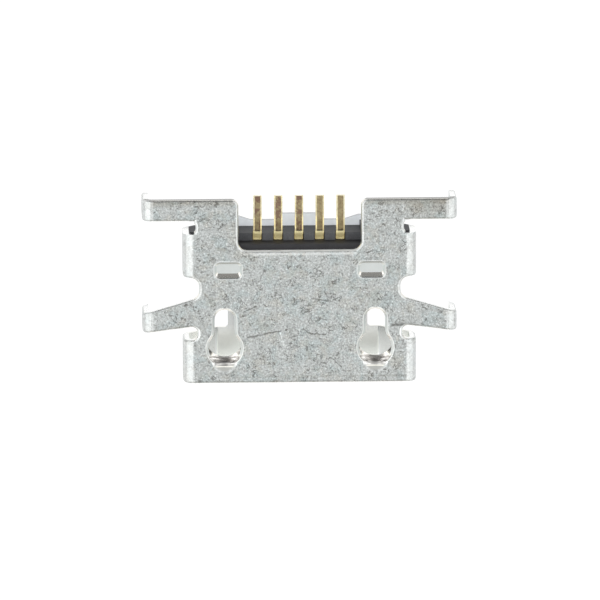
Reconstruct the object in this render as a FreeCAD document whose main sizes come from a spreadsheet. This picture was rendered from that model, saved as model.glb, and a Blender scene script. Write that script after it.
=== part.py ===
import FreeCAD, Part
import math
import os
import Sketcher

# Miniature five-contact charging socket for mounting in a cut-out of a circuit board.
# Millimetres. The mouth looks towards -Y, the solder tails point to +Y, the wide plate is on top
# and the narrow plate's outer face lies on the ground plane. Every piece is drawn with its mouth
# edge at y = 0 and is then moved back by half the length, so that the origin is below the middle.

SIZES = {
    # Folded shell.
    "shell_width": 7.3,
    "shell_height": 2.25,
    "shell_length": 5.85,
    "wall": 0.2,
    "fold_radius": 0.15,
    "corner_bevel": 0.89,
    "rim_bevel": 0.09,
    # Solder arms that stay in the plane of the wide plate, with a leg bent down at the end.
    "arm_span": 9.84,
    "arm_fold_radius": 0.1,
    "leg_drop": 1.37,
    "arm_root": 3.2,
    "rear_arm_width": 0.68,
    "middle_arm_root_width": 0.92,
    "middle_arm_tip_width": 0.63,
    "middle_arm_slant": 0.52,
    # Side walls, from the rear arms forwards, and the cuts between them and the arms.
    "rear_gap": 0.42,
    "rear_wall_length": 1.39,
    "middle_gap": 0.61,
    "front_gap": 0.21,
    "relief_radius": 0.19,
    "big_relief_radius": 0.29,
    "big_relief_root": 3.147,
    "rear_relief_root": 3.25,
    # Opening that the arms' blanks leave in the side wall and in the narrow plate.
    "opening_half": 2.2,
    "opening_slant": 0.1,
    "opening_radius": 0.1,
    # Keyholes in the wide plate for the plug's latches, each with a ramp and a coined run-out.
    "keyhole_across": 2.36,
    "keyhole_along": 1.12,
    "keyhole_radius": 0.51,
    "keyhole_slot_half": 0.31,
    "keyhole_slot_length": 1.22,
    "keyhole_blend": 0.5,
    "latch_ramp": 0.22,
    "ramp_edge": 0.02,
    "coin_along": 0.73,
    "coin_half": 0.4,
    "coin_depth": 0.11,
    # Stamped dimples that key the housing.
    "dimple_across": 2.24,
    "dimple_set_back": 0.2,
    "dimple_width": 0.88,
    "dimple_length": 0.54,
    "dimple_slope": 0.08,
    "dimple_front_slope": 0.16,
    "dimple_depth": 0.13,
    "dimple_corner": 0.18,
    # Notch at the back of the wide plate.
    "notch_half": 1.915,
    "plate_overhang": 0.16,
    "notch_radius": 0.28,
    "ear_radius": 0.22,
    # Back edge of the narrow plate and its dovetail seam.
    "lip_out": 0.06,
    "lip_tab_out": 0.26,
    "lip_side_out": 0.2,
    "lip_tab_half": 0.7,
    "lip_step": 1.47,
    "lip_side": 1.9,
    "seam_gap": 0.02,
    "dovetail_length": 0.95,
    "dovetail_reach": 0.6,
    "dovetail_flare": 0.12,
    # Moulded housing.
    "block_set_back": 0.04,
    "boss_length": 0.3,
    "boss_set_in": 0.55,
    "recess_depth": 0.36,
    "ledge_set_in": 0.12,
    "cheek_out": 0.05,
    "cheek_half": 1.95,
    "ledge_height": 1.2,
    "tongue_front": 1.0,
    "tongue_half": 1.72,
    "tongue_bottom": 1.1,
    "tongue_thickness": 0.6,
    "tongue_bevel": 0.12,
    "slot_width": 0.31,
    # Contacts.
    "contact_pitch": 0.65,
    "contact_width": 0.26,
    "contact_thickness": 0.15,
    "contact_front": 1.15,
    "contact_proud": 0.02,
    "contact_bevel": 0.04,
    "tail_height": 1.45,
    "tail_set_back": 0.01,
    "step_set_back": 0.06,
    "step_run": 0.24,
    "contact_fold": 0.06,
}
CONTACT_COUNT = 5
BEVEL_GAIN = 2 - math.sqrt(2)
MARGIN = 0.3


class Size:
    """A length in millimetres together with the sheet expression that gives it."""

    def __init__(self, number, text=None):
        self.number = number
        self.text = text or repr(number)

    def joined(self, other, number, sign):
        return Size(number, "(%s %s %s)" % (self.text, sign, other.text))

    def __add__(self, other):
        other = as_size(other)
        return self.joined(other, self.number + other.number, "+")

    def __sub__(self, other):
        other = as_size(other)
        return self.joined(other, self.number - other.number, "-")

    def __mul__(self, other):
        other = as_size(other)
        return self.joined(other, self.number * other.number, "*")

    def __truediv__(self, other):
        other = as_size(other)
        return self.joined(other, self.number / other.number, "/")

    def __neg__(self):
        return Size(-self.number, "(-%s)" % self.text)


def as_size(value):
    return value if isinstance(value, Size) else Size(float(value))


def make_sheet(document):
    """Write every size into the sheet and return the sizes by name."""
    sheet = document.addObject("Spreadsheet::Sheet", "Sizes")
    for row, (name, value) in enumerate(SIZES.items(), start=1):
        sheet.set("A%d" % row, name)
        sheet.set("B%d" % row, str(value))
        sheet.setAlias("B%d" % row, name)
    document.recompute()
    return {name: Size(float(sheet.get(name)), "Sizes." + name) for name in SIZES}


doc = FreeCAD.newDocument("charging_port")
size = make_sheet(doc)

# Places that several pieces share.
ZERO = Size(0.0)
half_width = size["shell_width"] / 2
height = size["shell_height"]
wall = size["wall"]
inner_half = half_width - wall
plate_under = height - wall
outer_fold = size["fold_radius"] + wall
fold_line = half_width - outer_fold
outer_bevel = size["corner_bevel"] + wall * BEVEL_GAIN
arm_half = size["arm_span"] / 2
leg_tip = height - size["leg_drop"]

# Places along the length. Keyholes, tongue and contacts keep their distance from the mouth,
# and everything else keeps its distance from the back edge.
rear_arm_front = size["shell_length"] - size["rear_arm_width"]
side_back = rear_arm_front - size["rear_gap"]
opening_back = side_back - size["rear_wall_length"]
middle_arm_back = opening_back - size["middle_gap"]
arm_tip_back = middle_arm_back - size["middle_arm_slant"]
arm_tip_front = arm_tip_back - size["middle_arm_tip_width"]
opening_front = arm_tip_front - size["front_gap"]
lip_back = side_back + size["lip_out"]
lip_tab_back = side_back + size["lip_tab_out"]
lip_side_back = side_back + size["lip_side_out"]
block_front = opening_back + size["block_set_back"]
block_back = side_back - size["recess_depth"]
ledge_back = side_back - size["ledge_set_in"]
cheek_back = side_back + size["cheek_out"]
dimple_along = block_front + size["dimple_set_back"]
notch_front = block_back - size["plate_overhang"]
tail_back = size["shell_length"] - size["tail_set_back"]


# Drawing helpers.

def origin_plane(body, role):
    return next(item for item in body.Origin.OriginFeatures if item.Role == role)


def new_body(name):
    body = doc.addObject("PartDesign::Body", name)
    body.Label = name
    body.setExpression("Placement.Base.y", (-size["shell_length"] / 2).text)
    return body


def new_sketch(body, name, role="XY_Plane", offset=ZERO):
    """Sketch on an origin plane, moved along the plane's normal by the offset."""
    sketch = body.newObject("Sketcher::SketchObject", name)
    sketch.AttachmentSupport = (origin_plane(body, role), [""])
    sketch.MapMode = "FlatFace"
    sketch.AttachmentOffset = FreeCAD.Placement(
        FreeCAD.Vector(0, 0, offset.number), FreeCAD.Rotation())
    sketch.setExpression("AttachmentOffset.Base.z", offset.text)
    return sketch


def hold(sketch, kind, *places, value):
    """Add a constraint whose value comes from the sheet."""
    index = sketch.addConstraint(Sketcher.Constraint(kind, *places, value.number))
    sketch.setExpression("Constraints[%d]" % index, value.text)


def fix_point(sketch, geometry, position, across, along):
    hold(sketch, "DistanceX", -1, 1, geometry, position, value=across)
    hold(sketch, "DistanceY", -1, 1, geometry, position, value=along)


def corner_arc(before, corner, after, radius):
    """Tangent points, centre and turn of a corner that is rounded with the given radius."""
    to_before = (before - corner).normalize()
    to_after = (after - corner).normalize()
    half_angle = to_before.getAngle(to_after) / 2
    reach = radius / math.tan(half_angle)
    middle = (to_before + to_after).normalize()
    centre = corner + middle * (radius / math.sin(half_angle))
    turn = to_after.cross(to_before).z
    return corner + to_before * reach, corner + to_after * reach, centre, turn


def outline(sketch, corners):
    """Closed outline through corners (across, along) or (across, along, radius)."""
    points = [FreeCAD.Vector(corner[0].number, corner[1].number, 0) for corner in corners]
    count = len(corners)
    ends = []
    for index, corner in enumerate(corners):
        place = points[index]
        if len(corner) < 3:
            ends.append((place, place, None))
            continue
        start, stop, centre, turn = corner_arc(
            points[index - 1], place, points[(index + 1) % count], corner[2].number)
        circle = Part.Circle(centre, FreeCAD.Vector(0, 0, 1), corner[2].number)
        first, last = (start, stop) if turn > 0 else (stop, start)
        arc = sketch.addGeometry(
            Part.ArcOfCircle(circle, circle.parameter(first), circle.parameter(last)), False)
        ends.append((start, stop, (arc, (1, 2) if turn > 0 else (2, 1))))
    lines = []
    for index in range(count):
        segment = Part.LineSegment(ends[index][1], ends[(index + 1) % count][0])
        lines.append(sketch.addGeometry(segment, False))
    for index, corner in enumerate(corners):
        incoming = lines[index - 1]
        outgoing = lines[index]
        arc = ends[index][2]
        if arc is None:
            sketch.addConstraint(Sketcher.Constraint("Coincident", incoming, 2, outgoing, 1))
            fix_point(sketch, outgoing, 1, corner[0], corner[1])
            continue
        number, (start, stop) = arc
        sketch.addConstraint(Sketcher.Constraint("Tangent", incoming, 2, number, start))
        sketch.addConstraint(Sketcher.Constraint("Tangent", number, stop, outgoing, 1))
        hold(sketch, "Radius", number, value=corner[2])
        point = sketch.addGeometry(Part.Point(points[index]), True)
        fix_point(sketch, point, 1, corner[0], corner[1])
        sketch.addConstraint(Sketcher.Constraint("PointOnObject", point, 1, incoming))
        sketch.addConstraint(Sketcher.Constraint("PointOnObject", point, 1, outgoing))


def rectangle(left, right, front, back, radius=None):
    """Corners of a rectangle, rounded when a radius is given."""
    corners = [(left, front), (right, front), (right, back), (left, back)]
    return [corner + (radius,) for corner in corners] if radius else corners


def volume_of(body):
    return 0.0 if body.Shape.isNull() else body.Shape.Volume


def extrude(body, kind, name, sketch, length=None, backwards=False):
    """Pad or pocket of a sketch; without a length a pocket goes through everything."""
    before = volume_of(body)
    feature = body.newObject("PartDesign::" + kind, name)
    feature.Profile = sketch
    feature.Reversed = backwards
    if length is None:
        feature.Type = "ThroughAll"
        feature.Midplane = True
    else:
        feature.Length = length.number
        feature.setExpression("Length", length.text)
    doc.recompute()
    require_change(feature, before, kind == "Pad")
    return feature


def require_change(feature, before, grows):
    """Stop when a feature that should add or remove material did neither."""
    change = feature.Shape.Volume - before
    if (change > 0) != grows or abs(change) < 1e-9:
        raise RuntimeError("%s changed the volume by %.6f" % (feature.Name, change))


def edge_middle(edge):
    return edge.valueAt((edge.FirstParameter + edge.LastParameter) / 2)


def soften(body, kind, name, choose, property_name, width):
    """Take the sharpness off the edges that choose picks, with a fillet or a chamfer."""
    before = volume_of(body)
    base = body.Tip
    picked = choose(base.Shape)
    names = ["Edge%d" % index for index, edge in enumerate(base.Shape.Edges, start=1)
             if any(edge.isSame(other) for other in picked)]
    feature = body.newObject("PartDesign::" + kind, name)
    feature.Base = (base, names)
    setattr(feature, property_name, width.number)
    feature.setExpression(property_name, width.text)
    doc.recompute()
    require_change(feature, before, False)


# Shell: one stamped and folded sheet.

def mirrored(corners):
    return [(-corner[0],) + corner[1:] for corner in reversed(corners)]


def both_sides(right):
    """The right half of an outline, joined to its mirror image."""
    return right + mirrored(right)


def section_corners(half, low, high, bevel, radius):
    """Closed cross-section with bevelled lower corners, seen from the mouth."""
    return both_sides([
        (half - bevel, low, radius), (half, low + bevel, radius), (half, high, radius)])


def strap_corners():
    """Strip across the wide plate with a leg bent down at each end, seen from the mouth."""
    leg_inner = arm_half - wall
    return both_sides([
        (leg_inner, plate_under, size["arm_fold_radius"]),
        (leg_inner, leg_tip),
        (arm_half, leg_tip),
        (arm_half, height, size["arm_fold_radius"] + wall),
    ])


def arm_pair(body, name, back, width):
    """Two solder arms, one on each side, that end at the given back edge."""
    sketch = new_sketch(body, name + "_profile", "XZ_Plane", -back)
    outline(sketch, strap_corners())
    extrude(body, "Pad", name, sketch, width)


def relief_pair(body, name, corners):
    """The same cut on both sides, through everything that lies above or below it."""
    sketch = new_sketch(body, name + "_outline", "XY_Plane", height)
    outline(sketch, corners)
    outline(sketch, mirrored(corners))
    extrude(body, "Pocket", name, sketch)


def keyhole_outline(sketch, across):
    """Round hole that runs out into a narrower slot towards the back."""
    along = size["keyhole_along"]
    radius = size["keyhole_radius"]
    slot_half = size["keyhole_slot_half"]
    blend = size["keyhole_blend"]
    slot_centre = along + size["keyhole_slot_length"] - slot_half
    centre = FreeCAD.Vector(across.number, along.number, 0)
    end_centre = FreeCAD.Vector(across.number, slot_centre.number, 0)
    blend_side = slot_half.number + blend.number
    blend_back = math.sqrt((radius.number + blend.number) ** 2 - blend_side ** 2)
    swing = math.atan2(blend_back, blend_side)
    up = FreeCAD.Vector(0, 0, 1)

    def arc(middle, reach, start, stop):
        circle = Part.Circle(middle, up, reach.number)
        return sketch.addGeometry(Part.ArcOfCircle(circle, start, stop), False)

    def side(sign):
        x = across.number + sign * slot_half.number
        low = FreeCAD.Vector(x, along.number + blend_back, 0)
        high = FreeCAD.Vector(x, slot_centre.number, 0)
        return sketch.addGeometry(Part.LineSegment(low, high), False)

    round_part = arc(centre, radius, math.pi - swing, 2 * math.pi + swing)
    right_blend = arc(centre + FreeCAD.Vector(blend_side, blend_back, 0), blend,
                      math.pi, math.pi + swing)
    right_side = side(1)
    slot_end = arc(end_centre, slot_half, 0, math.pi)
    left_side = side(-1)
    left_blend = arc(centre + FreeCAD.Vector(-blend_side, blend_back, 0), blend,
                     2 * math.pi - swing, 2 * math.pi)
    joints = [
        (round_part, 2, right_blend, 2), (right_blend, 1, right_side, 1),
        (right_side, 2, slot_end, 1), (slot_end, 2, left_side, 2),
        (left_side, 1, left_blend, 2), (left_blend, 1, round_part, 1),
    ]
    for joint in joints:
        sketch.addConstraint(Sketcher.Constraint("Tangent", *joint))
    fix_point(sketch, round_part, 3, across, along)
    fix_point(sketch, slot_end, 3, across, slot_centre)
    sketch.addConstraint(Sketcher.Constraint("Vertical", right_side))
    sketch.addConstraint(Sketcher.Constraint("Vertical", left_side))
    hold(sketch, "Radius", round_part, value=radius)
    hold(sketch, "Radius", slot_end, value=slot_half)
    hold(sketch, "Radius", right_blend, value=blend)
    hold(sketch, "Radius", left_blend, value=blend)


def loft(body, kind, name, sections):
    """Straight loft between sketches, each drawn at its own level."""
    sketches = []
    for suffix, level, draw in sections:
        sketch = new_sketch(body, name + "_" + suffix, "XY_Plane", level)
        draw(sketch)
        sketches.append(sketch)
    before = volume_of(body)
    feature = body.newObject("PartDesign::" + kind, name)
    feature.Profile = sketches[0]
    feature.Sections = sketches[1:]
    feature.Ruled = True
    doc.recompute()
    require_change(feature, before, kind == "AdditiveLoft")


def front_arc(sketch, across, half, depth):
    """Arc of a given half width and depth that bulges to the front from a keyhole's diameter."""
    along = size["keyhole_along"]
    reach = (half * half + depth * depth) / (depth * 2)
    middle = along + reach - depth
    circle = Part.Circle(
        FreeCAD.Vector(across.number, middle.number, 0), FreeCAD.Vector(0, 0, 1), reach.number)
    ends = [FreeCAD.Vector((across + side).number, along.number, 0) for side in (-half, half)]
    arc = sketch.addGeometry(
        Part.ArcOfCircle(circle, *[circle.parameter(end) for end in ends]), False)
    fix_point(sketch, arc, 3, across, middle)
    fix_point(sketch, arc, 1, across - half, along)
    sketch.addConstraint(Sketcher.Constraint("Horizontal", arc, 1, arc, 2))
    return arc


def latch_ramp(body, name, across):
    """Ramp at a keyhole's front: a crescent that grows from the rim's bevel down to the foot."""
    radius = size["keyhole_radius"]
    buried = radius + size["rim_bevel"] / 2

    def crescent(run):
        def draw(sketch):
            outer = front_arc(sketch, across, buried, buried)
            inner = front_arc(sketch, across, radius, radius - run)
            for position in (1, 2):
                ends = [sketch.getPoint(arc, position) for arc in (outer, inner)]
                line = sketch.addGeometry(Part.LineSegment(*ends), False)
                sketch.addConstraint(Sketcher.Constraint("Coincident", line, 1, outer, position))
                sketch.addConstraint(Sketcher.Constraint("Coincident", line, 2, inner, position))
        return draw

    loft(body, "AdditiveLoft", name, [
        ("foot", plate_under, crescent(size["latch_ramp"])),
        ("rim", height - size["rim_bevel"], crescent(size["ramp_edge"]))])


def coin_mark(body, name, across):
    """Shallow spherical coin mark across the front rim of a keyhole."""
    half = size["coin_half"]
    depth = size["coin_depth"]
    radius = (half * half + depth * depth) / (depth * 2)
    before = volume_of(body)
    mark = body.newObject("PartDesign::SubtractiveSphere", name)
    mark.AttachmentSupport = (origin_plane(body, "XY_Plane"), [""])
    mark.MapMode = "FlatFace"
    centre = {"x": across, "y": size["coin_along"], "z": height + radius - depth}
    for axis, place in centre.items():
        mark.setExpression("AttachmentOffset.Base." + axis, place.text)
    mark.Radius = radius.number
    mark.setExpression("Radius", radius.text)
    doc.recompute()
    require_change(mark, before, False)


def dimple_loft(body, kind, name, across, start):
    """Recess or bump of one dimple: a loft that narrows on its way down, most of all in front."""

    def outline_with(slope, front_slope):
        half_across = size["dimple_width"] / 2 - slope
        half_along = size["dimple_length"] / 2
        corners = rectangle(
            across - half_across, across + half_across,
            dimple_along - half_along + front_slope, dimple_along + half_along - slope,
            size["dimple_corner"] - slope)
        return lambda sketch: outline(sketch, corners)

    loft(body, kind, name, [
        ("rim", start, outline_with(ZERO, ZERO)),
        ("floor", start - size["dimple_depth"],
         outline_with(size["dimple_slope"], size["dimple_front_slope"]))])


def dimple_places():
    return {"right": size["dimple_across"], "left": -size["dimple_across"]}


def seam_corners():
    """Narrow gap between the two edges that meet in the narrow plate, with a dovetail."""
    gap = size["seam_gap"]
    half = gap / 2
    back = block_front
    front = back - size["dovetail_length"]
    reach = size["dovetail_reach"]
    flare = size["dovetail_flare"]
    start = ZERO - MARGIN
    stop = lip_tab_back + MARGIN
    return [
        (-half, start), (half, start), (half, front), (half - reach, front - flare),
        (half - reach, back + flare), (half, back), (half, stop), (-half, stop),
        (-half, back + gap), (-half - reach, back + flare + gap),
        (-half - reach, front - flare - gap), (-half, front - gap),
    ]


def outline_rim(shape):
    """Edges around the wide plate's outer face."""
    plates = [face for face in shape.Faces if face.CenterOfMass.z > (height - wall / 2).number]
    return max(plates, key=lambda face: face.Area).OuterWire.Edges


def keyhole_rims(shape):
    """Edges of the keyholes in the wide plate's outer face."""
    plates = [face for face in shape.Faces if face.CenterOfMass.z > (height - wall / 2).number]
    plate = max(plates, key=lambda face: face.Area)
    return [edge for wire in plate.Wires if not wire.isSame(plate.OuterWire) for edge in wire.Edges]


def make_shell():
    body = new_body("shell")
    radius = size["fold_radius"]

    section = new_sketch(body, "tube_section", "XZ_Plane")
    outline(section, section_corners(half_width, ZERO, height, outer_bevel, outer_fold))
    outline(section, section_corners(inner_half, wall, plate_under, size["corner_bevel"], radius))
    extrude(body, "Pad", "tube", section, side_back, backwards=True)

    back_plate = new_sketch(body, "back_plate_outline", "XY_Plane", plate_under)
    outline(back_plate, rectangle(
        -fold_line, fold_line, notch_front, size["shell_length"]))
    extrude(body, "Pad", "back_plate", back_plate, wall)

    lip = new_sketch(body, "lip_outline")
    floor_half = inner_half - size["corner_bevel"]
    outline(lip, both_sides([
        (floor_half, side_back - MARGIN), (floor_half, lip_side_back),
        (size["lip_side"], lip_side_back), (size["lip_step"], lip_back),
        (size["lip_tab_half"], lip_back), (size["lip_tab_half"], lip_tab_back),
    ]))
    extrude(body, "Pad", "lip", lip, wall)

    arm_pair(body, "rear_arms", size["shell_length"], size["rear_arm_width"])
    arm_pair(body, "middle_arms", middle_arm_back, middle_arm_back - arm_tip_front)

    opening = new_sketch(body, "side_opening_outline")
    right_opening = [
        (size["opening_half"], opening_front, size["opening_radius"]),
        (half_width + MARGIN, opening_front),
        (half_width + MARGIN, opening_back),
        (size["big_relief_root"] - wall, opening_back),
        (size["opening_half"], middle_arm_back - size["opening_slant"], size["opening_radius"]),
    ]
    outline(opening, right_opening)
    outline(opening, mirrored(right_opening))
    extrude(body, "Pocket", "side_openings", opening, plate_under, backwards=True)

    outside = arm_half + MARGIN
    relief = size["relief_radius"]
    big_relief = size["big_relief_radius"]
    relief_pair(body, "rear_reliefs", [
        (size["rear_relief_root"], side_back, relief),
        (outside, side_back),
        (outside, rear_arm_front),
        (size["rear_relief_root"], rear_arm_front, relief),
    ])
    relief_pair(body, "middle_reliefs", [
        (size["big_relief_root"], middle_arm_back, big_relief),
        (arm_half, arm_tip_back),
        (outside, arm_tip_back),
        (outside, opening_back),
        (size["big_relief_root"], opening_back, big_relief),
    ])
    relief_pair(body, "front_reliefs", [
        (size["arm_root"], opening_front, relief),
        (outside, opening_front),
        (outside, arm_tip_front),
        (arm_half, arm_tip_front),
        (size["arm_root"], middle_arm_back - size["middle_arm_root_width"], relief),
    ])

    keyholes = new_sketch(body, "keyhole_outlines", "XY_Plane", height)
    sides = {"right": size["keyhole_across"], "left": -size["keyhole_across"]}
    for across in sides.values():
        keyhole_outline(keyholes, across)
    extrude(body, "Pocket", "keyholes", keyholes, wall)

    notch_half = size["notch_half"]
    ear = size["ear_radius"]
    beyond = notch_half + ear * 2
    notch = new_sketch(body, "back_notch_outline", "XY_Plane", height)
    outline(notch, both_sides([
        (notch_half, notch_front, size["notch_radius"]),
        (notch_half, size["shell_length"], ear),
        (beyond, size["shell_length"]),
        (beyond, size["shell_length"] + MARGIN),
    ]))
    extrude(body, "Pocket", "back_notch", notch, wall)

    seam = new_sketch(body, "seam_outline")
    outline(seam, seam_corners())
    extrude(body, "Pocket", "seam", seam, wall, backwards=True)

    soften(body, "Fillet", "outline_rim", outline_rim, "Radius", size["rim_bevel"])
    soften(body, "Chamfer", "keyhole_rims", keyhole_rims, "Size", size["rim_bevel"])
    for side, across in sides.items():
        latch_ramp(body, side + "_latch_ramp", across)
        coin_mark(body, side + "_coin_mark", across)
    for side, across in dimple_places().items():
        dimple_loft(body, "SubtractiveLoft", side + "_dimple_recess", across, height)
        dimple_loft(body, "AdditiveLoft", side + "_dimple_bump", across, plate_under)
    return body


# Contacts: stamped strips that run under the tongue and step up to the solder tails.

def top_edges(shape):
    """Long edges on top of a strip, where its upper faces meet its sides."""
    edges = []
    for edge in shape.Edges:
        normals = [face.normalAt(*face.Surface.parameter(edge_middle(edge)))
                   for face in shape.ancestorsOfType(edge, Part.Face)]
        beside = any(abs(normal.x) > math.sqrt(0.5) for normal in normals)
        if beside and any(normal.z > math.sqrt(0.5) / 2 for normal in normals):
            edges.append(edge)
    return edges


def make_contact(index):
    body = new_body("contact_%d" % (index + 1))
    place = size["contact_pitch"] * (index - (CONTACT_COUNT - 1) / 2)
    body.setExpression("Placement.Base.x", place.text)
    thickness = size["contact_thickness"]
    width = size["contact_width"]
    low = size["tongue_bottom"] - size["contact_proud"]
    tail = size["tail_height"]
    rise = math.atan2(tail.number - low.number, size["step_run"].number)
    shift = thickness * math.tan(rise / 2)
    step_front = block_back + size["step_set_back"]
    step_back = step_front + size["step_run"]
    fold = size["contact_fold"]
    outer = fold + thickness
    sketch = new_sketch(body, "strip_%d" % (index + 1), "YZ_Plane", -width / 2)
    outline(sketch, [
        (size["contact_front"], low),
        (step_front + shift, low, outer),
        (step_back + shift, tail, fold),
        (tail_back, tail),
        (tail_back, tail + thickness),
        (step_back, tail + thickness, outer),
        (step_front, low + thickness, fold),
        (size["contact_front"], low + thickness),
    ])
    extrude(body, "Pad", "strip_pad_%d" % (index + 1), sketch, width)
    soften(body, "Chamfer", "strip_bevels_%d" % (index + 1), top_edges, "Size", size["contact_bevel"])
    return body


# Housing: one moulding that fills the back of the shell and carries the tongue.

def make_housing(contacts):
    body = new_body("moulding")
    radius = size["fold_radius"]
    block = new_sketch(body, "block_section", "XZ_Plane", -cheek_back)
    outline(block, section_corners(
        inner_half, wall, plate_under, size["corner_bevel"], radius))
    extrude(body, "Pad", "block", block, cheek_back - block_front)

    set_in = size["boss_set_in"]
    boss = new_sketch(body, "boss_section", "XZ_Plane", -block_front)
    outline(boss, section_corners(
        inner_half - set_in, wall, plate_under, size["corner_bevel"] - set_in, radius))
    extrude(body, "Pad", "boss", boss, size["boss_length"])

    bevel = size["tongue_bevel"]
    bottom = size["tongue_bottom"]
    tongue = new_sketch(body, "tongue_section", "YZ_Plane", -size["tongue_half"])
    outline(tongue, [
        (size["tongue_front"], bottom + bevel),
        (size["tongue_front"] + bevel, bottom),
        (block_front, bottom),
        (block_front, bottom + size["tongue_thickness"]),
        (size["tongue_front"] + bevel, bottom + size["tongue_thickness"]),
        (size["tongue_front"], bottom + size["tongue_thickness"] - bevel),
    ])
    extrude(body, "Pad", "tongue", tongue, size["tongue_half"] * 2)

    cheek = size["cheek_half"]
    beyond = cheek_back + MARGIN
    ledge_top = wall + size["ledge_height"]
    upper = new_sketch(body, "upper_recess_outline", "XY_Plane", ledge_top)
    outline(upper, rectangle(-cheek, cheek, block_back, beyond))
    extrude(body, "Pocket", "upper_recess", upper, height - ledge_top, backwards=True)
    lower = new_sketch(body, "lower_recess_outline")
    outline(lower, rectangle(-cheek, cheek, ledge_back, beyond))
    extrude(body, "Pocket", "lower_recess", lower, height, backwards=True)

    low = bottom - size["contact_proud"]
    slot_half = size["slot_width"] / 2
    first = -(size["contact_pitch"] * ((CONTACT_COUNT - 1) / 2))
    slot = new_sketch(body, "slot_outline", "XY_Plane", ledge_top)
    outline(slot, rectangle(
        first - slot_half, first + slot_half, block_back, ledge_back + MARGIN))
    slot_cut = extrude(body, "Pocket", "slot", slot, ledge_top - low)
    slots = body.newObject("PartDesign::LinearPattern", "slots")
    slots.Originals = [slot_cut]
    slots.Direction = (slot, ["H_Axis"])
    slots.Occurrences = CONTACT_COUNT
    run = size["contact_pitch"] * (CONTACT_COUNT - 1)
    slots.Length = run.number
    slots.setExpression("Length", run.text)
    body.Tip = slots
    doc.recompute()

    for side, across in dimple_places().items():
        dimple_loft(body, "SubtractiveLoft", side + "_dimple_seat", across, plate_under)

    strips = doc.addObject("Part::MultiFuse", "strips")
    strips.Shapes = contacts
    housing = doc.addObject("Part::Cut", "housing")
    housing.Label = "housing"
    housing.Base = body
    housing.Tool = strips
    doc.recompute()
    return housing


def check_and_write(pieces):
    """Stop on any failed object or bad shape, then write one file for each piece."""
    for item in doc.Objects:
        if "Invalid" in item.State or "Error" in item.State:
            raise RuntimeError("%s failed: %s" % (item.Name, item.State))
    for piece in pieces:
        shape = piece.Shape
        if shape.isNull() or not shape.isValid() or len(shape.Solids) != 1:
            raise RuntimeError("%s has a bad shape" % piece.Label)
    os.makedirs("parts", exist_ok=True)
    for piece in pieces:
        piece.Shape.exportStep("parts/%s.step" % piece.Label)


shell = make_shell()
contacts = [make_contact(index) for index in range(CONTACT_COUNT)]
housing = make_housing(contacts)
check_and_write([shell, housing] + contacts)
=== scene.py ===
import math
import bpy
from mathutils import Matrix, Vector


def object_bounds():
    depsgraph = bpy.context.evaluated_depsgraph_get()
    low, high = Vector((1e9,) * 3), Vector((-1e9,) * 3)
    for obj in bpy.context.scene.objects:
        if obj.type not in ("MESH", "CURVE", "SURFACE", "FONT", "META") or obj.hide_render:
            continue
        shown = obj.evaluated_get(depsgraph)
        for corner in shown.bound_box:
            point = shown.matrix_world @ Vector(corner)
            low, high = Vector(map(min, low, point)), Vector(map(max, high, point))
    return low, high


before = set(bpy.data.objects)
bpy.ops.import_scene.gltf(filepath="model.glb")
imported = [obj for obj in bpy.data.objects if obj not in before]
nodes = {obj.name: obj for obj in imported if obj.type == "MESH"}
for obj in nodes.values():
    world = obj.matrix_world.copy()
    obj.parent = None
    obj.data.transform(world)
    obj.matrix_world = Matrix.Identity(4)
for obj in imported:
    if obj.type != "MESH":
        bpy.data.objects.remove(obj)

from types import SimpleNamespace

import bpy
from mathutils import Matrix, Vector

MM = 0.001
cad_low, cad_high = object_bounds()
TOP = cad_high.z / MM
REAR = cad_high.y / MM

# Camera: above the wide plate, leaning a little towards the solder tails, through a long lens.
PICTURE_WIDTH = 18.75 * MM
CAMERA_DISTANCE = 250 * MM
CAMERA_LEAN = math.radians(11.4)
CAMERA_SIDE = math.radians(-2.05)
CAMERA_ROLL = math.radians(-0.12)
AIM = Vector((0.0, -0.276 * MM, cad_high.z))
SENSOR = 36.0

# Softboxes: place, width and height in millimetres, then brightness and colour.
WHITE = (1.0, 1.0, 1.0)
WARM_WHITE = (1.0, 0.95, 0.87)
SOFTBOXES = {
    "left_softbox": ((-70, 0, 50), (180, 160), 1.45, WHITE),
    "right_softbox": ((70, 0, 50), (180, 160), 1.28, WHITE),
    "top_softbox": ((0, -20, 100), (30, 60), 0.9, WHITE),
    "front_softbox": ((0, -95, 35), (110, 60), 0.7, WARM_WHITE),
}
WORLD_BRIGHTNESS = 0.20
FLOOR_SIZE = 120 * MM
FLOOR_GAP = 0.02 * MM

# Marks on the wide plate, in millimetres: start, end and half width.
DARK_MARKS = [
    ((-1.63, -1.46), (-0.60, -1.26), 0.042),
    ((0.09, -1.22), (0.36, -1.36), 0.036),
    ((0.34, -1.36), (0.80, -1.38), 0.042),
    ((0.95, -2.12), (1.30, -2.42), 0.036),
    ((-1.38, -0.47), (-1.72, -0.63), 0.036),
    ((0.37, -0.24), (0.87, -0.31), 0.036),
    ((2.88, -1.10), (3.22, -1.09), 0.085),
    ((-1.60, 1.75), (-1.80, 2.30), 0.034),
]
LIGHT_MARK = ((-0.63, -1.30), (-0.50, -1.74), 0.030)
DARKER_PATCHES = [
    ((-2.56, 1.38), (-2.32, 1.33), 0.09),
    ((-4.60, 2.82), (-2.10, 2.82), 0.16),
    ((4.60, 2.82), (2.10, 2.82), 0.16),
    ((3.60, 2.62), (4.45, 2.66), 0.45),
]
# A light line along the notch's front rim: a painted highlight.
NOTCH_HIGHLIGHT = ((-1.75, 1.20), (1.75, 1.20), 0.08)
MOUTH_LINE = ((-2.3, -2.73), (3.4, -2.71), 0.06)

# Cracks in the plating: scale and width, scale of their clusters, and strength.
CRACKS = [
    (3.9, 0.045, 3.0, 1.0),
    (7.3, 0.060, 4.1, 0.6),
]

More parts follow.
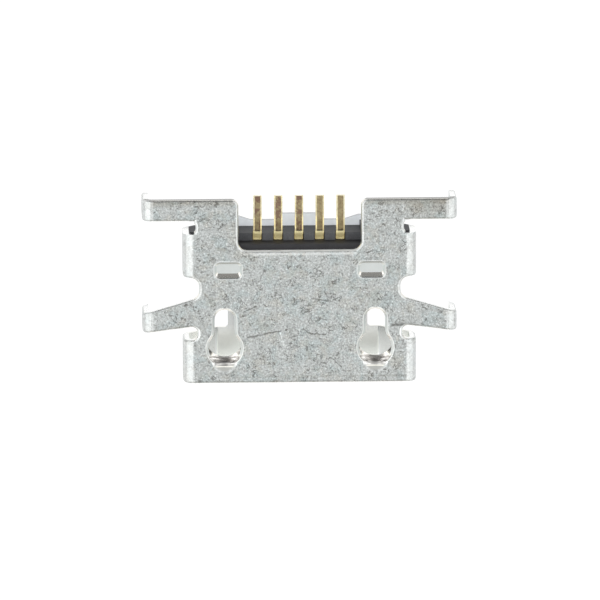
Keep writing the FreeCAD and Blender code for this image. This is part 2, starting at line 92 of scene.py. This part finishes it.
# Limits of the painted areas, in millimetres from the frame's origin.
# Across counts from the middle line to both sides, along grows towards the tails.
FOLD_START = 3.3
NOTCH_EDGE = 1.305
LEDGE_TOP = 1.4
STEP_START = 1.42
STEP_END = 1.80
LATCH_ACROSS = 2.36
LATCH_HALF = 0.42
RAMP_BACK = -2.07
RAMP_HALF = 0.56
RAMP_FRONT = -2.38
RUN_OUT_FRONT = -2.62
KEYHOLE_ALONG = (-2.33, -0.40)
KEYHOLE_HALF = 0.80

# Dimples: middle and half size across and along, corner radius and width of the line round them.
DIMPLE_ACROSS = (2.24, 0.44)
DIMPLE_ALONG = (0.68, 0.27)
DIMPLE_CORNER = 0.18
RING_WIDTH = 0.042

# Soft limits, in millimetres: a mask is 0 at the first number and 1 at the second.
DEEP_IN_TUBE = (1.5, 0.6)
SLANTED_CORNERS = (3.15, 3.0)
OPEN_TO_LIGHT = (-1.95, -1.35)
BEHIND_HOUSING = (1.60, 1.75)
BESIDE_ARM_BEND = (4.52, 4.66)
LEDGE_REAR = (1.60, 1.68)
LATCH_HEIGHT = (1.7, 1.8)
SPOTTED_SIDE = (0.45, 0.2)
SHADED_TAILS = (2.35, 1.95)
GLOWING_TAILS = (2.35, 2.15)


# Node helpers.

def new_material(name):
    material = bpy.data.materials.new(name)
    material.use_nodes = True
    tree = material.node_tree
    return material, tree, tree.nodes["Principled BSDF"]


def add_node(tree, kind, **settings):
    node = tree.nodes.new(kind)
    for name, value in settings.items():
        setattr(node, name, value)
    return node


def feed(tree, socket, value):
    """Link an output to a socket, or set the socket to a number, vector or colour."""
    if isinstance(value, bpy.types.NodeSocket):
        tree.links.new(value, socket)
    elif isinstance(value, tuple) and len(socket.default_value) == 4:
        socket.default_value = (*value, 1.0)
    else:
        socket.default_value = value


def feed_shader(tree, shader, settings):
    """Feed several of the shader's sockets by name."""
    for name, value in settings.items():
        feed(tree, shader.inputs[name], value)


def math_node(tree, operation, *values, clamp=False):
    node = add_node(tree, "ShaderNodeMath", operation=operation, use_clamp=clamp)
    for socket, value in zip(node.inputs, values):
        feed(tree, socket, value)
    return node.outputs["Value"]


def absolute(tree, value):
    return math_node(tree, "ABSOLUTE", value)


def from_line(tree, axis, place):
    """Distance from a place along an axis."""
    return absolute(tree, math_node(tree, "SUBTRACT", axis, place))


def product(tree, first, *others):
    """Several values multiplied; for masks, the area where all of them are."""
    result = first
    for value in others:
        result = math_node(tree, "MULTIPLY", result, value)
    return result


def strongest(tree, first, *others):
    """The largest of several values; for masks, the area where any of them is."""
    result = first
    for value in others:
        result = math_node(tree, "MAXIMUM", result, value)
    return result


def vector_node(tree, operation, *values):
    node = add_node(tree, "ShaderNodeVectorMath", operation=operation)
    for socket, value in zip(node.inputs, values):
        feed(tree, socket, value)
    return node


def moved(tree, vector, by):
    """A vector with another one added to it."""
    return vector_node(tree, "ADD", vector, by).outputs["Vector"]


def split(tree, vector):
    node = add_node(tree, "ShaderNodeSeparateXYZ")
    feed(tree, node.inputs["Vector"], vector)
    return node.outputs


def mix(tree, factor, first, second, blend="MIX"):
    node = add_node(tree, "ShaderNodeMix", data_type="RGBA", blend_type=blend)
    colours = [socket for socket in node.inputs if socket.type == "RGBA"]
    feed(tree, node.inputs["Factor"], factor)
    feed(tree, colours[0], first)
    feed(tree, colours[1], second)
    return next(socket for socket in node.outputs if socket.type == "RGBA")


def multiplied(tree, first, second):
    """One colour darkened by another all over."""
    return mix(tree, 1.0, first, second, "MULTIPLY")


def fade(tree, value, low, high):
    """0 below low, 1 above high and smooth in between; low may be the larger one."""
    node = add_node(tree, "ShaderNodeMapRange", interpolation_type="SMOOTHSTEP")
    feed(tree, node.inputs["Value"], value)
    feed(tree, node.inputs["From Min"], low)
    feed(tree, node.inputs["From Max"], high)
    return node.outputs["Result"]


def ramp(tree, value, stops):
    """Colour ramp with (position, colour) stops."""
    node = add_node(tree, "ShaderNodeValToRGB")
    elements = node.color_ramp.elements
    while len(elements) < len(stops):
        elements.new(0.5)
    for element, (position, colour) in zip(elements, stops):
        element.position = position
        element.color = (*colour, 1.0)
    feed(tree, node.inputs["Fac"], value)
    return node.outputs["Color"]


def millimetres(tree, stretch=(1.0, 1.0, 1.0)):
    """Object coordinates in millimetres, stretched along each axis."""
    coordinates = add_node(tree, "ShaderNodeTexCoord")
    mapping = add_node(tree, "ShaderNodeMapping")
    mapping.inputs["Scale"].default_value = [axis / MM for axis in stretch]
    feed(tree, mapping.inputs["Vector"], coordinates.outputs["Object"])
    return mapping.outputs["Vector"]


def noise(tree, vector, scale, detail=2.0, roughness=0.5, distortion=0.0, output="Fac"):
    texture = add_node(tree, "ShaderNodeTexNoise")
    feed(tree, texture.inputs["Vector"], vector)
    feed(tree, texture.inputs["Scale"], scale)
    feed(tree, texture.inputs["Detail"], detail)
    feed(tree, texture.inputs["Roughness"], roughness)
    feed(tree, texture.inputs["Distortion"], distortion)
    return texture.outputs[output]


def wander(tree, vector, scale, reach):
    """Coordinates pushed about by noise, so that lines drawn in them waver."""
    push = moved(tree, noise(tree, vector, scale, output="Color"), (-0.5, -0.5, -0.5))
    shortened = vector_node(tree, "SCALE", push)
    feed(tree, shortened.inputs["Scale"], reach)
    return moved(tree, vector, shortened.outputs["Vector"])


def veins(tree, vector, scale, width, distortion):
    """Thin lines where a noise crosses its middle value."""
    field = noise(tree, vector, scale, roughness=0.55, distortion=distortion)
    return fade(tree, from_line(tree, field, 0.5), width, 0.0)


def bump(tree, shader, height, strength, distance):
    node = add_node(tree, "ShaderNodeBump")
    feed(tree, node.inputs["Strength"], strength)
    feed(tree, node.inputs["Distance"], distance)
    feed(tree, node.inputs["Height"], height)
    feed(tree, shader.inputs["Normal"], node.outputs["Normal"])


def read_surface(tree):
    """Place in millimetres and direction of a surface point, as the masks of a material use them."""
    place = millimetres(tree)
    x, y, z = split(tree, place)
    geometry = add_node(tree, "ShaderNodeNewGeometry")
    normal_x, normal_y, normal_z = split(tree, geometry.outputs["Normal"])
    return SimpleNamespace(
        place=place, x=x, y=y, z=z,
        aside=absolute(tree, x),
        outwards=product(tree, x, normal_x),
        sideways=absolute(tree, normal_x),
        lengthways=absolute(tree, normal_y),
        upwards=normal_z,
    )


# Masks of marks and places on the pieces.

def stroke(tree, place, start, end, half_width):
    """A thin mark between two points on the wide plate, in millimetres."""
    start = Vector((*start, TOP))
    run = Vector((*end, TOP)) - start
    from_start = vector_node(tree, "SUBTRACT", place, tuple(start)).outputs["Vector"]
    along = vector_node(tree, "DOT_PRODUCT", from_start, tuple(run / run.length_squared))
    nearest = vector_node(tree, "SCALE", tuple(run))
    share = math_node(tree, "ADD", along.outputs["Value"], 0.0, clamp=True)
    feed(tree, nearest.inputs["Scale"], share)
    away = vector_node(tree, "DISTANCE", from_start, nearest.outputs["Vector"])
    return fade(tree, away.outputs["Value"], half_width, 0.0)


def crack_mask(tree, place, wavy):
    """Short curved cracks in clusters, and the few longer marks that stand out."""
    masks = [stroke(tree, wavy, *mark) for mark in DARK_MARKS]
    for scale, width, cluster, strength in CRACKS:
        where = fade(tree, noise(tree, place, cluster), 0.50, 0.58)
        lines = veins(tree, wavy, scale, width, distortion=1.0)
        masks.append(product(tree, lines, where, strength))
    return strongest(tree, *masks)


def outer_side(tree, at):
    """The sheet's outer side: both plates, and all that faces outwards beyond the folds."""
    wide_plate = fade(tree, at.z, TOP - 0.05, TOP - 0.01)
    narrow_plate = fade(tree, at.z, 0.04, 0.01)
    past_fold = fade(tree, at.aside, FOLD_START, FOLD_START + 0.1)
    facing_out = fade(tree, at.outwards, 0.0, 0.4)
    return strongest(tree, wide_plate, narrow_plate, product(tree, past_fold, facing_out))


def dimple_ring(tree, at):
    """A thin line round the mouth of both dimples."""
    beyond = []
    for axis, (place, half) in ((at.aside, DIMPLE_ACROSS), (at.y, DIMPLE_ALONG)):
        past = math_node(tree, "SUBTRACT", from_line(tree, axis, place), half - DIMPLE_CORNER)
        beyond.append(strongest(tree, past, 0.0))
    squares = [product(tree, value, value) for value in beyond]
    reach = math_node(tree, "SQRT", math_node(tree, "ADD", *squares))
    line = fade(tree, from_line(tree, reach, DIMPLE_CORNER), RING_WIDTH, 0.0)
    return product(tree, line, fade(tree, at.z, TOP - 0.03, TOP - 0.01))


def latch_band(tree, at, near, far, half=LATCH_HALF, blur=0.02):
    """A band across both latch ramps, between two places along the part."""
    across = from_line(tree, at.aside, LATCH_ACROSS)
    return product(tree,
                   fade(tree, across, half + blur, half - blur),
                   fade(tree, at.y, near - blur, near + blur),
                   fade(tree, at.y, far + blur, far - blur),
                   fade(tree, at.z, *LATCH_HEIGHT))


def notch_lip(tree, at):
    """The broken edge along the front of the notch."""
    return product(tree,
                   fade(tree, at.lengthways, 0.35, 0.6),
                   fade(tree, at.z, TOP - 0.13, TOP - 0.10),
                   fade(tree, at.y, NOTCH_EDGE - 0.12, NOTCH_EDGE - 0.08),
                   fade(tree, at.y, NOTCH_EDGE + 0.04, NOTCH_EDGE + 0.02))


def arm_rear_edge(tree, at):
    """The rear edges of the rear arms, above their legs."""
    return product(tree,
                   fade(tree, at.y, REAR - 0.10, REAR),
                   fade(tree, at.z, TOP - 0.35, TOP - 0.25))


def plating_areas(tree, at):
    """Areas of the sheet that the plating's colour, shine and glow depend on."""
    deep = fade(tree, at.z, *DEEP_IN_TUBE)
    high = math_node(tree, "SUBTRACT", 1.0, deep)
    return SimpleNamespace(
        outer=outer_side(tree, at),
        deep=deep,
        behind=product(tree, deep, fade(tree, at.y, *BEHIND_HOUSING)),
        inner_plate=product(tree, deep, fade(tree, at.upwards, 0.7, 0.9)),
        cut=product(tree, fade(tree, at.lengthways, 0.80, 0.95), high),
        lip=notch_lip(tree, at),
        run_out=latch_band(tree, at, RUN_OUT_FRONT, RAMP_FRONT),
    )


# Materials.

def paint(tree, base, colour, mask, share=1.0, blend="MIX"):
    """A base with a share of another colour laid over it where a mask is."""
    if share < 1.0:
        mask = product(tree, mask, share)
    return mix(tree, mask, base, colour, blend)


def grain_colour(tree, place, wavy, grain):
    """Crystalline grain with pits, and bright specks painted in as sparkle: painted highlights."""
    base = ramp(tree, grain, [
        (0.28, (0.25, 0.26, 0.255)),
        (0.45, (0.45, 0.47, 0.462)),
        (0.57, (0.54, 0.566, 0.558)),
        (0.70, (0.76, 0.79, 0.785)),
    ])
    pits = fade(tree, noise(tree, wavy, 17.0, roughness=0.6), 0.42, 0.27)
    painted_glints = fade(tree, noise(tree, place, 24.0, detail=1.0), 0.60, 0.76)
    base = paint(tree, base, (0.17, 0.17, 0.16), pits, 0.55)
    # Bright specks: painted highlights standing in for the grain's sparkle.
    return paint(tree, base, (0.90, 0.92, 0.91), painted_glints, 0.75)


def darkened_in_patches(tree, place, wavy, base):
    """Broad stains, warm and cool, then a darker line along the mouth and darker patches at places of
    their own.
    """
    elsewhere = moved(tree, place, (7.0, 7.0, 7.0))
    warm = fade(tree, noise(tree, place, 2.4, 3.0, 0.6, 0.5), 0.50, 0.64)
    cool = fade(tree, noise(tree, elsewhere, 2.1, 3.0, 0.6, 0.5), 0.50, 0.62)
    base = paint(tree, base, (0.95, 0.91, 0.86), warm, 0.65, "MULTIPLY")
    base = paint(tree, base, (0.90, 0.97, 0.99), cool, 0.6, "MULTIPLY")
    mouth = stroke(tree, wavy, *MOUTH_LINE)
    base = paint(tree, base, (0.78, 0.76, 0.73), mouth, 0.5, "MULTIPLY")
    for patch in DARKER_PATCHES:
        base = paint(tree, base, (0.84, 0.81, 0.77), stroke(tree, wavy, *patch), blend="MULTIPLY")
    return base


def painted_fold_light(tree, at, base):
    """Folds, bevels and rims painted brighter or darker by how far they tilt sideways, as painted
    highlights and shade, with painted highlights beside the arms' bends, round the dimples and on the
    keyhole rims.
    """
    tilt_light = ramp(tree, at.sideways, [
        (0.20, (0.87, 0.89, 0.88)),
        (0.34, (0.76, 0.78, 0.77)),
        (0.50, (0.71, 0.73, 0.72)),
        (0.66, (0.69, 0.705, 0.695)),
        (0.78, (0.54, 0.55, 0.545)),
        (0.88, (0.76, 0.775, 0.77)),
        (0.96, (0.76, 0.775, 0.77)),
        (1.0, (0.50, 0.51, 0.505)),
    ])
    tilted = fade(tree, at.sideways, 0.04, 0.18)
    bend_highlight = product(tree,
                          fade(tree, at.aside, *BESIDE_ARM_BEND),
                          fade(tree, at.sideways, 0.10, 0.04))
    keyhole = latch_band(tree, at, *KEYHOLE_ALONG, half=KEYHOLE_HALF)
    # Painted highlights and shade on tilted faces, set by how far they tilt.
    base = paint(tree, base, tilt_light, tilted, 0.52)
    # Painted highlights beside the arms' bends, round the dimples and on the keyhole rims.
    base = paint(tree, base, (0.84, 0.86, 0.85), bend_highlight, 0.8)
    base = paint(tree, base, (0.90, 0.92, 0.91), dimple_ring(tree, at), 0.55)
    return paint(tree, base, (0.95, 0.97, 0.95), product(tree, keyhole, tilted), 0.8)


def outer_looks(tree, at):
    """Colour of the plating's outer side, and the height that drives its bumps."""
    wavy = wander(tree, at.place, scale=7.0, reach=0.10)
    grain = noise(tree, at.place, 16.0, detail=3.0, roughness=0.62)
    cracks = crack_mask(tree, at.place, wavy)
    base = grain_colour(tree, at.place, wavy, grain)
    base = paint(tree, base, (0.13, 0.13, 0.12), cracks, 0.86)
    base = paint(tree, base, (0.90, 0.93, 0.92), stroke(tree, wavy, *LIGHT_MARK), 0.7)
    # Painted highlight along the notch's front rim.
    base = paint(tree, base, (0.84, 0.85, 0.84), stroke(tree, wavy, *NOTCH_HIGHLIGHT), 0.6)
    base = darkened_in_patches(tree, at.place, wavy, base)
    height = math_node(tree, "SUBTRACT", grain, product(tree, cracks, 0.5))
    return painted_fold_light(tree, at, base), height


def inner_colour(tree, at, area):
    """Plain inner faces, painted lighter and warmer where they face along the part as painted light,
    with painted shade on the slanted corners and where the narrow plate is most lit.
    """
    facing_along = fade(tree, at.lengthways, 0.2, 0.4)
    slanted = product(tree, area.deep,
                      fade(tree, at.sideways, 0.3, 0.5), fade(tree, at.aside, *SLANTED_CORNERS))
    most_lit = product(tree, area.inner_plate, fade(tree, at.y, *OPEN_TO_LIGHT))
    cloud = ramp(tree, noise(tree, at.place, 3.0, detail=3.0), [
        (0.3, (0.94, 0.94, 0.93)),
        (0.7, WHITE),
    ])
    # Painted light: lighter and warmer on faces that face along the part.
    base = mix(tree, facing_along, (0.65, 0.68, 0.67), (0.88, 0.86, 0.81))
    base = paint(tree, base, (0.98, 0.98, 0.92), area.deep)
    # Painted shade on the slanted corners and where the narrow plate is most lit.
    base = paint(tree, base, (0.52, 0.53, 0.52), slanted)
    base = paint(tree, base, (0.54, 0.545, 0.53), most_lit)
    base = paint(tree, base, (0.44, 0.46, 0.49), area.behind)
    return multiplied(tree, base, cloud)


def latch_marks(tree, at, area, base):
    """Dark streaks across the latch ramps, drag marks and painted shade, then a plain run-out behind
    a lip with a painted highlight.
    """
    streaks = noise(tree, millimetres(tree, stretch=(0.12, 1.0, 1.0)), 16.0)
    drag_marks_and_shade = ramp(tree, streaks, [
        (0.38, (0.15, 0.14, 0.13)),
        (0.50, (0.40, 0.38, 0.36)),
        (0.66, (0.85, 0.84, 0.82)),
    ])
    ramps = latch_band(tree, at, RAMP_FRONT, RAMP_BACK, half=RAMP_HALF)
    lip_highlight = latch_band(tree, at, RAMP_FRONT - 0.03, RAMP_FRONT, blur=0.01)
    # Drag marks and painted shade on the latch ramps.
    base = paint(tree, base, drag_marks_and_shade, ramps, 0.80)
    base = paint(tree, base, (0.47, 0.475, 0.45), area.run_out)
    # Painted highlight along the lip.
    return paint(tree, base, (0.95, 0.94, 0.86), lip_highlight)


def plating_metallic(tree, area):
    """Bright metal, duller on the notch's lip, on the run-outs and behind the housing."""
    matt = strongest(tree,
                     product(tree, area.behind, 0.8),
                     product(tree, area.lip, 0.6),
                     product(tree, area.run_out, 0.6))
    return math_node(tree, "SUBTRACT", 0.9, matt)


def plating_roughness(tree, at, area):
    """Each area adds to a base roughness or takes from it."""
    facing_along = fade(tree, at.lengthways, 0.2, 0.5)
    changes = [
        (area.outer, 0.06),
        (area.run_out, 0.3),
        (area.deep, -0.08),
        (area.behind, 0.2),
        (facing_along, -0.12),
    ]
    roughness = 0.32
    for mask, change in changes:
        roughness = math_node(tree, "MULTIPLY_ADD", mask, change, roughness)
    return roughness


def leaked_light(tree, at, area):
    """Soft glow in place of the light that leaks in under the shell and behind the housing."""
    patchy = math_node(tree, "MULTIPLY_ADD", noise(tree, at.place, 4.0, detail=3.0), 0.20, 0.35)
    return strongest(tree,
                     product(tree, area.inner_plate, 0.16),
                     product(tree, area.behind, area.inner_plate, patchy))


def plating_material():
    """Matt tin plating: crystalline grain, cracks and stains outside, plainer inside and on cuts."""
    material, tree, shader = new_material("plating")
    at = read_surface(tree)
    area = plating_areas(tree, at)
    outside, height = outer_looks(tree, at)
    inside = latch_marks(tree, at, area, inner_colour(tree, at, area))
    # Cut faces light, but painted dark on the arms' rear edges: painted shade.
    cut_tone_and_edge_shade = mix(tree, arm_rear_edge(tree, at), (0.97, 0.98, 0.97), (0.26, 0.26, 0.255))
    colour = mix(tree, area.outer, inside, outside)
    colour = paint(tree, colour, cut_tone_and_edge_shade, area.cut)
    feed_shader(tree, shader, {
        # The notch's lip painted lighter: a painted highlight.
        "Base Color": paint(tree, colour, (0.68, 0.69, 0.67), area.lip),
        "Metallic": plating_metallic(tree, area),
        "Roughness": plating_roughness(tree, at, area),
        "Emission Color": (0.92, 0.96, 1.0),
        "Emission Strength": leaked_light(tree, at, area),
    })
    bump(tree, shader, product(tree, area.outer, height), strength=0.6, distance=0.012 * MM)
    return material


def moulding_material():
    """Black plastic, matt, with a fine cloudy sparkle; its upward faces are painted lighter on the
    ledge and darker above it, and its other faces lighter behind the ledge's rear, as painted light
    and shade.
    """
    material, tree, shader = new_material("moulding")
    at = read_surface(tree)
    grain = noise(tree, at.place, 22.0)
    cloud = noise(tree, at.place, 2.5, detail=3.0, roughness=0.6)
    above_ledge = fade(tree, at.z, LEDGE_TOP + 0.1, LEDGE_TOP + 0.3)
    # Painted shade and light: darker in front of the ledge's rear, lighter behind it.
    other_faces = mix(tree, fade(tree, at.y, *LEDGE_REAR), (0.024, 0.024, 0.026), (0.064, 0.066, 0.070))
    # Painted light on the ledge's top, painted shade on the upward faces above it.
    top_light_and_shade = mix(tree, above_ledge, (0.165, 0.17, 0.18), (0.040, 0.040, 0.043))
    colour = mix(tree, fade(tree, at.upwards, 0.5, 0.9), other_faces, top_light_and_shade)
    fleck = ramp(tree, grain, [(0.3, (0.80, 0.80, 0.80)), (0.7, WHITE)])
    shade = ramp(tree, cloud, [(0.3, (0.84, 0.84, 0.85)), (0.7, WHITE)])
    feed_shader(tree, shader, {
        "Base Color": multiplied(tree, multiplied(tree, colour, fleck), shade),
        "Roughness": 0.6,
        "Specular IOR Level": 0.25,
    })
    bump(tree, shader, grain, strength=0.3, distance=0.01 * MM)
    return material


def gold_material():
    """Thin gold over nickel: tops painted dark as painted shade, shaded darker towards the housing
    and spotted on one side, sides painted bright as a painted highlight, and a painted glow on the
    step and the pressed edges.
    """
    material, tree, shader = new_material("gold_plating")
    at = read_surface(tree)
    step = product(tree,
                   fade(tree, at.y, STEP_START, STEP_START + 0.03),
                   fade(tree, at.y, STEP_END, STEP_END - 0.03))
    edge = product(tree,
                   fade(tree, at.sideways, 0.3, 0.6),
                   fade(tree, at.upwards, 0.2, 0.5),
                   fade(tree, at.y, *GLOWING_TAILS))
    grain = noise(tree, at.place, 14.0, detail=3.0, roughness=0.6)
    blots = noise(tree, at.place, 5.5, detail=3.0, roughness=0.65, distortion=0.6)
    spots = product(tree, fade(tree, at.x, *SPOTTED_SIDE), fade(tree, blots, 0.47, 0.53))
    # Tops painted dark: painted shade, with real spots on one side.
    top_shade_and_spots = ramp(tree, grain, [(0.35, (0.25, 0.195, 0.11)), (0.62, (0.37, 0.305, 0.175))])
    top_shade_and_spots = paint(tree, top_shade_and_spots, (0.19, 0.115, 0.085), spots, 0.85)
    shaded = fade(tree, at.y, *SHADED_TAILS)
    top_shade_and_spots = paint(tree, top_shade_and_spots, (0.72, 0.70, 0.66), shaded, blend="MULTIPLY")
    # Sides painted bright: a painted highlight.
    side_highlight = ramp(tree, grain, [(0.35, (0.80, 0.71, 0.44)), (0.62, (0.98, 0.92, 0.68))])
    colour = mix(tree, fade(tree, at.upwards, 0.88, 0.97), side_highlight, top_shade_and_spots)
    # Painted light: the step painted bright, and a glow on the step and the edges.
    feed_shader(tree, shader, {
        "Base Color": paint(tree, colour, (1.0, 0.92, 0.55), step),
        "Metallic": math_node(tree, "MULTIPLY_ADD", step, -0.70, 0.80),
        "Roughness": 0.30,
        "Emission Color": (1.0, 0.80, 0.36),
        "Emission Strength": strongest(tree, product(tree, step, 0.18), product(tree, edge, 0.4)),
    })
    bump(tree, shader, math_node(tree, "ADD", grain, spots), strength=0.5, distance=0.01 * MM)
    return material


def floor_material():
    """White light table: it glows evenly, so no shadow falls on it."""
    material, tree, shader = new_material("light_table")
    cloud = noise(tree, millimetres(tree), 0.05)
    feed_shader(tree, shader, {
        "Base Color": ramp(tree, cloud, [(0.3, (0.06, 0.06, 0.06)), (0.7, (0.08, 0.08, 0.08))]),
        "Roughness": 0.9,
        "Specular IOR Level": 0.0,
        "Emission Color": WHITE,
        "Emission Strength": 1.0,
    })
    return material


# Pieces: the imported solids, which carry their own exact normals.

def dress(node, material):
    node.data.materials.clear()
    node.data.materials.append(material)


# Studio.

def make_softbox(name, place, size, brightness, colour):
    """Rectangular light of an even brightness, aimed at the origin."""
    place = Vector(place) * MM
    width, height = (side * MM for side in size)
    data = bpy.data.lights.new(name, "AREA")
    data.shape = "RECTANGLE"
    data.size = width
    data.size_y = height
    data.energy = brightness * math.pi * width * height
    data.color = colour
    light = bpy.data.objects.new(name, data)
    light.location = place
    light.rotation_mode = "QUATERNION"
    light.rotation_quaternion = (-place).to_track_quat("-Z", "Y")
    bpy.context.scene.collection.objects.link(light)


def make_floor():
    bpy.ops.mesh.primitive_plane_add(size=FLOOR_SIZE, location=(0, 0, cad_low.z - FLOOR_GAP))
    floor = bpy.context.active_object
    floor.name = "floor"
    floor.data.materials.append(floor_material())


def make_world(brightness):
    world = bpy.data.worlds.new("studio")
    world.use_nodes = True
    background = world.node_tree.nodes["Background"]
    background.inputs["Color"].default_value = (brightness, brightness, brightness, 1.0)
    bpy.context.scene.world = world


def make_camera():
    data = bpy.data.cameras.new("camera")
    data.sensor_width = SENSOR
    data.lens = SENSOR * CAMERA_DISTANCE / PICTURE_WIDTH
    data.clip_start = CAMERA_DISTANCE / 100
    data.clip_end = CAMERA_DISTANCE * 10
    back = Vector((math.sin(CAMERA_SIDE), math.sin(CAMERA_LEAN), 0.0))
    back.z = math.sqrt(1.0 - back.x ** 2 - back.y ** 2)
    across = Vector((0, 1, 0)).cross(back).normalized()
    up = back.cross(across)
    turn = Matrix((across, up, back)).transposed() @ Matrix.Rotation(CAMERA_ROLL, 3, "Z")
    camera = bpy.data.objects.new("camera", data)
    camera.matrix_world = Matrix.Translation(AIM + back * CAMERA_DISTANCE) @ turn.to_4x4()
    bpy.context.scene.collection.objects.link(camera)
    bpy.context.scene.camera = camera


dress(nodes["shell"], plating_material())
dress(nodes["housing"], moulding_material())
gold = gold_material()
for name in sorted(nodes):
    if name.startswith("contact"):
        dress(nodes[name], gold)

make_floor()
make_world(WORLD_BRIGHTNESS)
for name, (place, size, brightness, colour) in SOFTBOXES.items():
    make_softbox(name, place, size, brightness, colour)
make_camera()
bpy.context.scene.view_settings.view_transform = "Standard"
